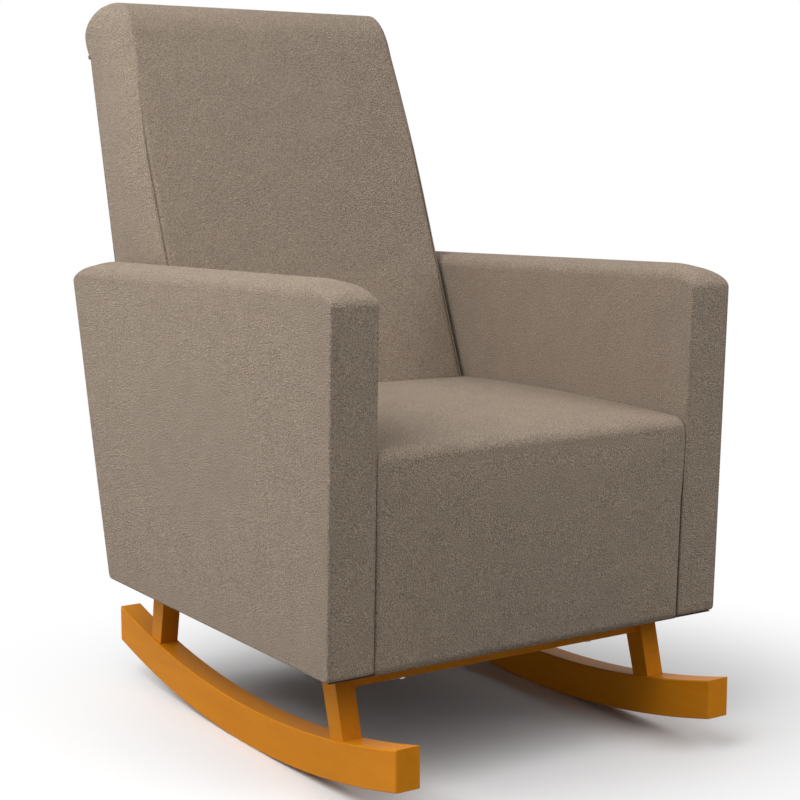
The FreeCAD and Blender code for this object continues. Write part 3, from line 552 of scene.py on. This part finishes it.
# %% Arm covers
def arm_surface():
    """Grid of the right arm: face, quarter round, band, quarter round, face.

    On a face the outline shrinks towards the arm's middle, and the outer face swells by a share
    (1 - u^2)(1 - w^2), with u and w from -1 to 1 over its depth and height.
    On the band it moves outwards by a share 1 - t^2 of the crown and dips at the two seams."""
    foot = ((front_at(ARM_LOW) + arm_rear_at(ARM_LOW)) / 2, ARM_LOW)
    corners = [
        foot,
        (front_at(ARM_LOW), ARM_LOW),
        (front_at(ARM_TOP_FRONT), ARM_TOP_FRONT),
        (arm_rear_at(ARM_TOP_REAR), ARM_TOP_REAR),
        (arm_rear_at(ARM_LOW), ARM_LOW),
        foot,
    ]
    line, normal, sides = rounded_path(corners, ARM_CORNERS, ARM_STEP)
    edge, crown, seam = (by_side(sides, v)[:, None] for v in (ARM_EDGES, ARM_CROWNS, ARM_SEAMS))
    middle = np.array(ARM_MIDDLE)
    rim = line - normal * edge
    columns = []
    for x_face, outwards in ((ARM_INSIDE, -1.0), (ARM_OUTSIDE, 1.0)):
        flat = middle + (rim[:, None] - middle) * ARM_RINGS[None, :, None]
        u, w = (((flat - middle) / ARM_SWELL_REACH)[..., k] for k in (0, 1))
        swell = np.clip(1 - u ** 2, 0, 1) * np.clip(1 - w ** 2, 0, 1)
        x = x_face + max(outwards, 0) * ARM_SWELL * swell
        columns.append(np.concatenate([x[..., None], flat], 2))
        angle = quarter(ARM_EDGE_POINTS)[None]
        reach = edge - groove((math.pi / 2 - angle) * edge, seam)
        x = x_face - outwards * (edge - reach * np.cos(angle))
        turned = rim[:, None] + normal[:, None] * (reach * np.sin(angle))[..., None]
        columns.append(np.concatenate([x[..., None], turned], 2))
    inner_face, inner_edge, outer_face, outer_edge = columns
    t = across(ARM_BAND_POINTS)[1:-1][None]
    half = (ARM_OUTSIDE - ARM_INSIDE) / 2 - edge
    x = (ARM_INSIDE + ARM_OUTSIDE) / 2 + t * half
    out = crown * (1 - t ** 2) - groove((1 - np.abs(t)) * half, seam)
    band = line[:, None] + normal[:, None] * out[..., None]
    band = np.concatenate([x[..., None], band], 2)
    parts = [inner_face, inner_edge, band, outer_edge[:, ::-1], outer_face[:, ::-1]]
    return np.concatenate(parts, 1)


right_arm = arm_surface()
left_arm = (right_arm * (-1, 1, 1))[:, ::-1]
for word, grid in (("left", left_arm), ("right", right_arm)):
    cad_parts = (f"arm_cover_{word}", f"arm_padding_{word}")
    make_cover(f"arm_upholstery_{word}", grid, COVER_THICKNESS, 0.9, *cad_parts)

# %% [markdown]
# ## The covers that wrap round a body
# The seat and the back are made alike. A sheet lies over the front and top, an eased edge turns it
# at each side, and a side piece runs back to the frame. The edge is a quarter ellipse, because the
# padding is pressed flat at the sides and left full in front, so a round edge would look stuffed.
# Where a seam lies, the cloth dips at the line between sheet and edge.

# %% Wrapped cover
SHEET_POINTS, EDGE_POINTS, SIDE_POINTS = 26, 13, 16
SHORTEST_ROW = 0.01
DEEPEST_SHARE = 0.8


def wrapped_surface(line, normal, inner, half, edge, out, seam=0.0, bulge=0.0):
    """Grid of a cover: side, eased edge, sheet, eased edge, side.

    The sheet moves outwards by out(t), with t from -1 to 1 across it, and dips by seam at its two
    long borders. Each row of a side runs straight to the inner line. Its edge is a quarter
    ellipse, as wide and deep as edge says, but no deeper than most of the row. The side swells by
    a share 6.75 s (1 - s)^2 of the bulge, which is 1 at a third of the way s to the inner line."""
    wide, deep = (size[:, None] for size in edge)
    row = inner - line
    length = np.maximum(np.linalg.norm(row, axis=1), SHORTEST_ROW)[:, None]
    deep = np.minimum(deep, DEEPEST_SHARE * length)
    t = across(SHEET_POINTS)[None]
    flat_half = half - wide
    lift = out(t) - groove((1 - np.abs(t)) * flat_half, seam)
    x = t * flat_half
    sheet = np.concatenate([x[..., None], line[:, None] + normal[:, None] * lift[..., None]], 2)
    angle = quarter(EDGE_POINTS)[None]
    dip = groove(np.hypot(wide * np.sin(angle), deep * (1 - np.cos(angle))), seam)
    turn = deep * (1 - np.cos(angle)) + dip * np.cos(angle)
    rest = deep + (length - deep) * np.linspace(0, 1, SIDE_POINTS)[None, 1:]
    share = np.concatenate([turn, rest], 1) / length
    x = half - wide + wide * np.sin(angle) - dip * np.sin(angle)
    x = np.concatenate([x, np.full(rest.shape, half)], 1)
    x = x + np.reshape(bulge, (-1, 1)) * 6.75 * share * (1 - share) ** 2
    side = line[:, None] + row[:, None] * share[..., None]
    right = np.concatenate([x[..., None], side], 2)
    left = right[:, ::-1] * np.array([-1, 1, 1])
    return np.concatenate([left, sheet, right], 1)


def distance_along(line):
    """Running length of a line, from 0 at its first point."""
    return np.concatenate([[0], np.cumsum(np.linalg.norm(np.diff(line, axis=0), axis=1))])


print("columns in a wrapped cover:", len(across(SHEET_POINTS)) + 2 * (EDGE_POINTS + SIDE_POINTS - 1))

# %% [markdown]
# ## Letting the cloth settle
# A real cover is cut a little small, and the foam behind it pushes it out until it is tight. The
# cloth simulation does the same with a coarse copy of a cover's sheet: held along its four borders
# it is blown up from behind, without gravity, for twenty frames. How far each point rose is scaled,
# so that the highest point rises by a known distance, and is added to the fine sheet.

# %% Settle
START_SHARE = 0.45
PRESSURE = 4.0
FRAMES = 20
COARSE_STEP, COARSE_COLUMNS = 13, 37


def blow_up(name, points):
    """Runs the cloth simulation on a grid that is held along its borders; gives the moved grid."""
    rows, columns = points.shape[:2]
    mesh = grid_mesh(name, points)
    piece = bpy.data.objects.new(name, mesh)
    scene.collection.objects.link(piece)
    border = np.ones((rows, columns), bool)
    border[1:-1, 1:-1] = False
    held = piece.vertex_groups.new(name="held")
    held.add(np.flatnonzero(border).tolist(), 1.0, "REPLACE")
    cloth = piece.modifiers.new("settle", "CLOTH")
    cloth.settings.use_pressure = True
    cloth.settings.uniform_pressure_force = PRESSURE
    cloth.settings.effector_weights.gravity = 0
    cloth.settings.vertex_group_mass = "held"
    cloth.collision_settings.use_collision = False
    cloth.point_cache.frame_start, cloth.point_cache.frame_end = 1, FRAMES
    for number in range(1, FRAMES + 1):
        scene.frame_set(number)
    blown = piece.evaluated_get(bpy.context.evaluated_depsgraph_get()).data
    after = np.empty(len(blown.vertices) * 3)
    blown.vertices.foreach_get("co", after)
    scene.frame_set(1)
    bpy.data.objects.remove(piece)
    bpy.data.meshes.remove(mesh)
    return after.reshape(rows, columns, 3) / MM


def settled(name, run, line, normal, half, crown, cap):
    """Lift of a sheet in millimetres as a function of t; its highest point rises by cap.

    The coarse copy samples the line every 13 mm. Its rise along the normals is divided by the
    highest one, and read off between its points, linearly both along the line and across it."""
    stops = np.linspace(0, run[-1], int(run[-1] / COARSE_STEP))
    t = np.linspace(-1, 1, COARSE_COLUMNS)
    base, out = (np.stack([np.interp(stops, run, v[:, k]) for k in (0, 1)], 1) for v in (line, normal))
    rise = np.interp(stops, run, crown)[:, None] * (1 - t ** 2)
    x = np.repeat(half * t[None], len(stops), 0)
    before = np.concatenate([x[..., None], base[:, None] + out[:, None] * rise[..., None]], 2)
    move = np.sum((blow_up(name, before) - before)[..., 1:] * out[:, None], 2)
    print(name, "rose by", round(move.max(), 1), "mm, kept", cap)
    share = np.clip(move, 0, None) / move.max() * cap
    rows = np.interp(run, stops, np.arange(len(stops)))
    low = np.minimum(rows.astype(int), len(stops) - 2)
    part = (rows - low)[:, None]
    lifts = share[low] * (1 - part) + share[low + 1] * part
    return lambda at: np.stack([np.interp(at.ravel(), t, row) for row in lifts])


print("the cloth settles:", f"in {FRAMES} frames")

# %% [markdown]
# ## The seat
# The seat is sprung and padded, not a loose cushion. Its cloth rises from a rim beside the arms to
# a crown in the middle, rolls over a soft front edge and runs down flush with the arms' fronts.
# Its rear end turns down in front of the back, and the sides run down into the gap to the arms.

# %% Seat's sizes
SEAT_HALF = side_of("seat_cover", 1, 0, -0.1)
SEAT_RIM, SEAT_LOW, SEAT_FLAP = 440.0, 316.0, 425.0
SEAT_CORNERS = ((20.0, 26.0), (3.0, 3.0))
SEAT_EDGES = (7.0, 5.0, 4.0)
SEAT_INNER_FRONT = -360.0
SEAT_GAP, SEAT_LOW_GAP = 4.5, 24.5
ARCH_TOP, ARCH_DROP = 2.4, 4.6
ARCH_MIDDLE, ARCH_FORWARD, ARCH_BACKWARD = -60.0, 260.0, 185.0
SEAT_RISE = 9.0
RISE_PLACES, RISE_SHARES = (-345, -290, -150, 0), (0.55, 0.85, 1.0, 0.75, 0.0)
APRON_CROWN, CROWN_START = 3.0, 140.0
SEAT_SETTLES = 5.0
COVER_STEP, HELD_BORDER = 9.0, 6.0
BACK_FRONT_AT_RIM, BACK_FRONT_LEAN = 114.0, 0.38


def back_front_at(z):
    """The back's front plane: it goes back by 0.38 of the height over the seat's rim."""
    return BACK_FRONT_AT_RIM + BACK_FRONT_LEAN * (z - SEAT_RIM)


print("the seat is", round(back_front_at(SEAT_RIM) - front_at(SEAT_RIM)), "mm deep at its rim")

# %% Seat cover
def make_seat():
    """Path up the apron, over the front edge and along the top to the back, then a short flap.

    Along the arms the top is a flat arch, which drops with the square of the distance from its
    middle. Across the seat it rises by a share 1 - t^2 more, most near the middle of the seat's
    depth and not at all at the rear."""
    rear = back_front_at(SEAT_RIM) - SEAT_GAP
    corners = [
        (front_at(ARM_LOW), ARM_LOW),
        (front_at(SEAT_RIM), SEAT_RIM),
        (rear, SEAT_RIM),
        (back_front_at(SEAT_FLAP) - SEAT_GAP, SEAT_FLAP),
    ]
    line, normal, sides = rounded_path(corners, SEAT_CORNERS, COVER_STEP)
    run = distance_along(line)
    y = line[:, 0]
    low_rear = back_front_at(SEAT_LOW) - SEAT_LOW_GAP
    share = np.clip((y - SEAT_INNER_FRONT) / (rear - SEAT_INNER_FRONT), 0, 1)
    inner_y = np.where(sides < 2, SEAT_INNER_FRONT + share * (low_rear - SEAT_INNER_FRONT), low_rear)
    inner = np.stack([inner_y, np.minimum(line[:, 1], SEAT_LOW)], 1)
    arch_reach = np.where(y < ARCH_MIDDLE, ARCH_FORWARD, ARCH_BACKWARD)
    arch = ARCH_TOP - ARCH_DROP * ((y - ARCH_MIDDLE) / arch_reach) ** 2
    on_top = np.clip(sides, 0, 1) * (sides < 2)
    line = line + np.stack([0 * y, arch * on_top], 1)
    rise = np.interp(y, (*RISE_PLACES, rear), RISE_SHARES) * SEAT_RISE
    crown = rise * on_top + APRON_CROWN * (1 - np.clip(sides, 0, 1))
    crown = (crown * START_SHARE * np.clip(run / CROWN_START, 0, 1))[:, None]
    edge = by_side(sides, SEAT_EDGES)
    held_half = SEAT_HALF - HELD_BORDER
    lift = settled("seat_sheet", run, line, normal, held_half, crown[:, 0], SEAT_SETTLES)
    points = wrapped_surface(
        line, normal, inner, SEAT_HALF, (edge, edge), lambda t: crown * (1 - t ** 2) + lift(t)
    )
    cad_parts = ("seat_cover", "seat_foam", "seat_front_padding")
    make_cover("seat_upholstery", points, COVER_THICKNESS, 0.75, *cad_parts)


make_seat()

# %% [markdown]
# ## The back
# The back is a tall padded board that leans, with a thick roll over its top that hangs a little
# over the rear. A seam runs up beside each front edge, where the edge is crisp. Towards the roll
# the padding gets thicker, the edge grows softer and the seam fades out.
# So the edge's size, the seam's depth and the side's bulge all follow the distance along the path.

# %% Back's sizes
BACK_HALF = side_of("back_cover", 1, 0, 2.6)
BACK_LOW = side_of("back_cover", 0, 2, 0.6)
BACK_TOP = side_of("back_cover", 1, 2, -1.6)
ROLL_REACH = side_of("back_cover", 1, 1, 0.4)
LIP = side_of("back_panel_cover", 1, 2, -0.4)
TOP_RISE, ROLL_DROP = 2.0, 50.0
LIP_REACH, LIP_TURN, SIDE_LAP = 3.0, 1.5, 5.0
SIDE_END, SIDE_RUN = LIP - 5.5, 820.0
BACK_CORNERS = ((46.0, 38.0), (83.0, 35.0), (14.0, 20.0), (3.0, 3.0))
BACK_CROWNS = (4.5, 0.3, 0.6, 0.6, 0.3)
BACK_SETTLES = 3.0
SEAM_STOPS, SEAM_DEPTHS = (0, 480, 620), (5.0, 4.5, 0.0)
STOPS = (0, 320, 430, 500, 560, 630, 670, 700, 760, 800, 840, 880, 906)
EDGE_WIDTHS = (4.0, 4.0, 4.0, 4.0, 7.0, 13.0, 17.0, 18.0, 14.0, 11.0, 11.0, 9.0, 9.0)
EDGE_DEPTHS = (10.0, 14.0, 26.0, 34.0, 46.0, 60.0, 64.0, 60.0, 46.0, 30.0, 18.0, 12.0, 6.0)
BULGES = (1.0, 5.0, 10.0, 12.0, 12.0, 11.0, 9.0, 8.0, 6.0, 4.0, 2.0, 1.0, 0.3)
BACK_REAR_FOOT, BACK_REAR_LEAN = 256.0, 0.24


def back_rear_at(z):
    """The outside back's plane: it goes back by 0.24 of the height over the arms' foot."""
    return BACK_REAR_FOOT + BACK_REAR_LEAN * (z - ARM_LOW)


print("the back is", round(back_rear_at(SEAT_RIM) - back_front_at(SEAT_RIM)), "mm thick at the seat")

# %% Back cover
def make_back():
    """Path up the front, round the roll and under its lip; the sides run to the rear plane.

    The edge's width and depth, the seam and the bulge are read off along the path. The inner line
    climbs the rear plane in step with the path, and stays just under the lip once it is there."""
    corners = [
        (back_front_at(BACK_LOW), BACK_LOW),
        (back_front_at(BACK_TOP + TOP_RISE), BACK_TOP + TOP_RISE),
        (ROLL_REACH, BACK_TOP),
        (ROLL_REACH, BACK_TOP - ROLL_DROP),
        (back_rear_at(LIP) - LIP_REACH, LIP),
        (back_rear_at(LIP) - SIDE_LAP - LIP_TURN, LIP - LIP_TURN),
    ]
    line, normal, sides = rounded_path(corners, BACK_CORNERS, COVER_STEP)
    run = distance_along(line)
    z = BACK_LOW + (SIDE_END - BACK_LOW) * np.clip(run / SIDE_RUN, 0, 1)
    inner = np.stack([back_rear_at(z) - SIDE_LAP, z], 1)
    edge = (np.interp(run, STOPS, EDGE_WIDTHS), np.interp(run, STOPS, EDGE_DEPTHS))
    crown = by_side(sides, BACK_CROWNS)[:, None] * START_SHARE
    seam = np.interp(run, SEAM_STOPS, SEAM_DEPTHS)[:, None]
    bulge = np.interp(run, STOPS, BULGES)
    held_half = BACK_HALF - HELD_BORDER
    lift = settled("back_sheet", run, line, normal, held_half, crown[:, 0], BACK_SETTLES)
    points = wrapped_surface(
        line, normal, inner, BACK_HALF, edge, lambda t: crown * (1 - t ** 2) + lift(t), seam, bulge
    )
    make_cover("back_upholstery", points, COVER_THICKNESS, 0.8, "back_cover", "back_foam", "roll_foam")


make_back()

# %% [markdown]
# ## The outside back
# One flat piece of cloth over card closes the rear, from under the roll to the foot. Real chairs
# fix it with a hidden seam, so its edges are turned in and it stands slightly proud. Its head is
# tucked in under the roll's lip and gets a little narrower there.

# %% Outside back
PANEL_HALF = side_of("back_panel_cover", 1, 0)
PANEL_FOOT, PANEL_HEAD = ARM_LOW + 0.3, LIP - 0.5
PANEL_ROWS, PANEL_EDGE, PANEL_DEEP = 90, 2.4, 5.0
PANEL_INSET, PANEL_CROWN, PANEL_THICKNESS = 0.7, 0.6, 1.2
TUCK, TUCK_REACH = 1.0, 22.0
NARROWING, NARROW_REACH = 4.0, 14.0


def make_outside_back():
    """Slim pillow just inside the rear plane: its sheet swells by a share 1 - t^4 of the crown.

    Towards its head it is tucked in and narrowed by bell curves of the distance from the head.
    The crown starts from nothing at head and foot and is full over the middle."""
    z = np.linspace(PANEL_FOOT, PANEL_HEAD, PANEL_ROWS)[::-1]
    below = PANEL_HEAD - z
    tuck = TUCK * np.exp(-((below / TUCK_REACH) ** 2))
    half = (PANEL_HALF - NARROWING * np.exp(-((below / NARROW_REACH) ** 2)))[:, None]
    line = np.stack([back_rear_at(z) - PANEL_INSET - tuck, z], 1)
    lean = math.hypot(1, BACK_REAR_LEAN)
    normal = np.repeat(np.array([[1 / lean, -BACK_REAR_LEAN / lean]]), len(z), 0)
    inner = line - normal * PANEL_DEEP
    run = np.linspace(0, 1, len(z))
    crown = (PANEL_CROWN * np.clip(8 * run * (1 - run), 0, 1))[:, None]
    edge = np.full(len(z), PANEL_EDGE)
    points = wrapped_surface(line, normal, inner, half, (edge, edge), lambda t: crown * (1 - t ** 4))
    make_cover("outside_back", points, PANEL_THICKNESS, 0.3, "back_panel_cover")


make_outside_back()

# %% [markdown]
# ## The floor
# The chair stands on a plain white floor. Near the chair the floor is white paint, which takes the
# chair's shadow. Farther out it glows white by itself, so it meets the white room without a line.
# Both are for the camera alone: to other light the floor is a mid grey one, so that it throws
# little light back on the chair, and the undersides stay dark as in the photo.

# %% Floor
FLOOR_REACH = 9000.0
FLOOR_PAINT, FLOOR_GREY = (0.92, 0.92, 0.925, 1), (0.32, 0.32, 0.32, 1)
GLOW_SHIFT = (0, 0.2, 0)
GLOW_START, GLOW_FULL = 0.3, 0.9


def make_floor():
    """Flat square far larger than the view, with a glow whose share rises away from the chair.

    The share rises smoothly from 0 at GLOW_START to 1 at GLOW_FULL, in metres from a point on the
    floor 0.2 in front of the origin."""
    span = np.linspace(-FLOOR_REACH, FLOOR_REACH, 3)
    x, y = np.meshgrid(span, span, indexing="ij")
    mesh = grid_mesh("floor", np.stack([x, y, np.zeros_like(x)], 2))
    floor = bpy.data.objects.new("floor", mesh)
    scene.collection.objects.link(floor)
    paint = Finish("floor_white")
    place = paint.place(shift=GLOW_SHIFT)
    away = paint.node("ShaderNodeVectorMath", {"operation": "LENGTH"}, {0: place}).outputs["Value"]
    limits = {"Value": away, "From Min": GLOW_START, "From Max": GLOW_FULL}
    far = paint.node("ShaderNodeMapRange", {"interpolation_type": "SMOOTHSTEP"}, limits).outputs[0]
    white, grey = (
        paint.node("ShaderNodeBsdfDiffuse", None, {"Color": tone}).outputs[0]
        for tone in (FLOOR_PAINT, FLOOR_GREY)
    )
    glow = paint.node("ShaderNodeEmission", None, {"Color": (1, 1, 1, 1), "Strength": 1.0}).outputs[0]
    shown = paint.node("ShaderNodeMixShader", None, {0: far, 1: white, 2: glow}).outputs[0]
    mix = paint.node("ShaderNodeMixShader", None, {0: paint.seen(), 1: grey, 2: shown}).outputs[0]
    paint.feed(paint.output.inputs["Surface"], mix)
    mesh.materials.append(paint.material)


make_floor()
print("floor glows from", GLOW_START, "to", GLOW_FULL, "m")

# %% [markdown]
# ## The light
# The photo's light is soft and comes mostly from the upper left: the left sides are lit, the
# fronts are darker, and the shadow falls softly to the right. Two broad lamps stand up there. A
# weak low one fills the left side near the floor, and one at the front right opens up the fronts.
# The room adds light from above only, so the undersides stay dark.

# %% Light
ROOM_RISE = 0.96
LAMP_AIM = (0, 0, 0.5)
LAMPS = (
    ("left_lamp", (-0.7, 0.35, 0.6), 2.2, 1.8, 0.43),
    ("high_lamp", (-0.6, -0.2, 0.75), 2.6, 2.0, 0.64),
    ("low_lamp", (-0.95, 0.15, 0.02), 2.4, 0.9, 0.15),
    ("right_lamp", (0.4, -0.75, 0.5), 2.4, 1.8, 0.38),
)


def make_room():
    """White for the camera. For other rays, light that grows from the horizon to the zenith.

    Its strength is ROOM_RISE times height^3, where height is the upward part of the direction."""
    world = bpy.data.worlds.new("room")
    scene.world = world
    world.use_nodes = True
    room = Net(world.node_tree)
    direction = room.node("ShaderNodeTexCoord").outputs["Generated"]
    height = Amount(room, room.node("ShaderNodeSeparateXYZ", None, {0: direction}).outputs["Z"])
    light = height.at_least(0.0) ** 3.0 * ROOM_RISE
    limits = {"Value": room.seen(), "To Min": light, "To Max": 1.0}
    shade = room.tree.nodes["Background"]
    room.feed(shade.inputs["Color"], (1, 1, 1, 1))
    room.feed(shade.inputs["Strength"], room.node("ShaderNodeMapRange", None, limits).outputs[0])


def make_lamp(name, toward, distance, size, strength):
    """Square lamp that looks at the chair's middle from a direction, at a distance in metres.

    Its power is that at which a white surface facing it at the chair shows the strength given."""
    toward = np.array(toward, float)
    toward = toward / np.linalg.norm(toward)
    light = bpy.data.lights.new(name, "AREA")
    light.size = size
    light.energy = strength * math.pi ** 2 * distance ** 2
    lamp = bpy.data.objects.new(name, light)
    scene.collection.objects.link(lamp)
    lamp.location = toward * distance + np.array(LAMP_AIM)
    lamp.rotation_euler = mathutils.Vector(-toward).to_track_quat("-Z", "Y").to_euler()


make_room()
for lamp in LAMPS:
    make_lamp(*lamp)
scene.view_settings.view_transform = "Standard"
print("lamps:", [name for name, *_ in LAMPS])
